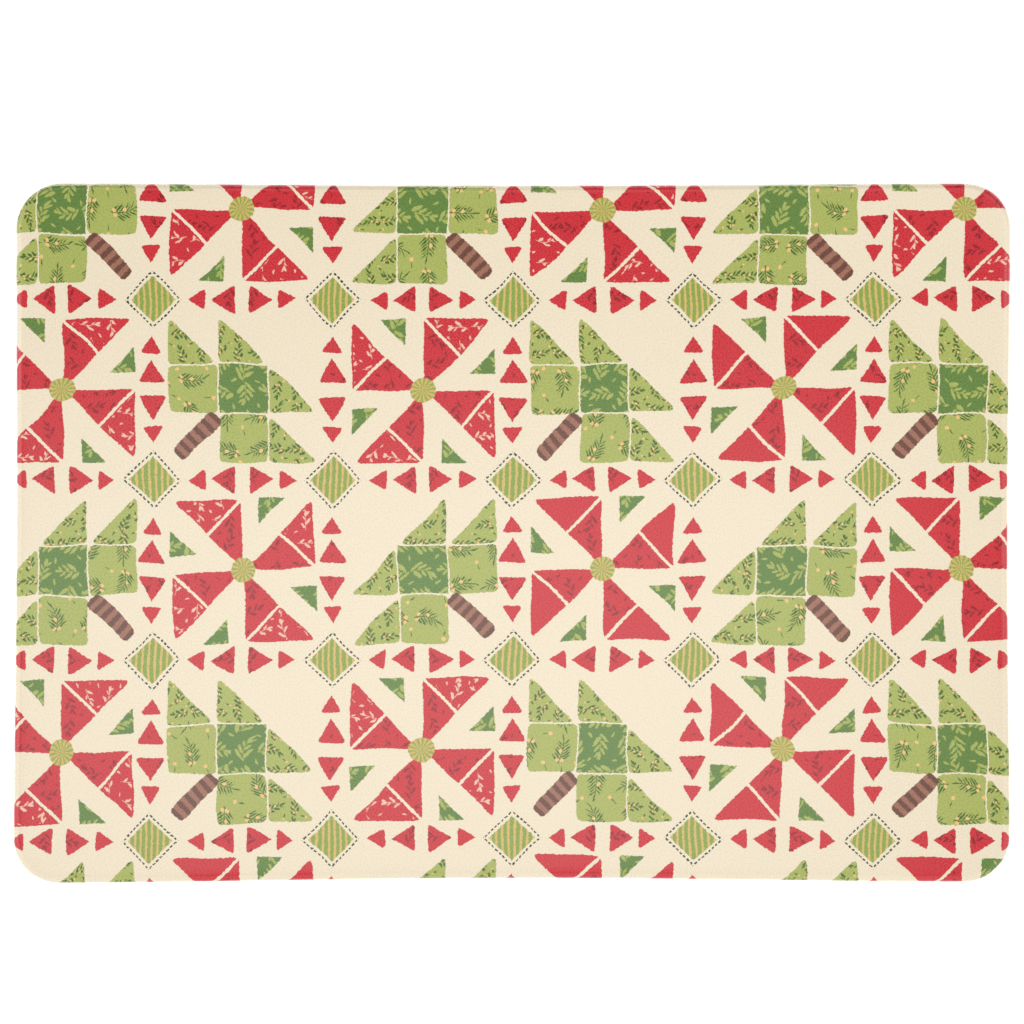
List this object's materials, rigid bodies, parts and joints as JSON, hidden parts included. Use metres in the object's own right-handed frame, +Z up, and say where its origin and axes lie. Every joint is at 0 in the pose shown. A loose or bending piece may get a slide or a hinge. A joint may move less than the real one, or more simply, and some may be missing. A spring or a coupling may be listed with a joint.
{
  "type": "printed trivet mat",
  "caption": "Flat rectangular cushioned mat with rounded corners, a softly rolled edge and a patchwork print, laid on a table under hot or wet dishes.",
  "frame": {"origin": "under the middle of the mat, on the surface that it lies on", "axes": "+X along the long side, +Y towards the back edge, +Z up through the thickness"},
  "size_m": [0.4299, 0.3016, 0.005],
  "materials": {
    "coated_cloth": "cushioned cloth with a wipe-clean coating, cream ground with a red and green patchwork print, fine grain and a soft half-gloss; plain underside"
  },
  "bodies": {
    "root": {"mat": "coated_cloth"}
  },
  "joints": []
}
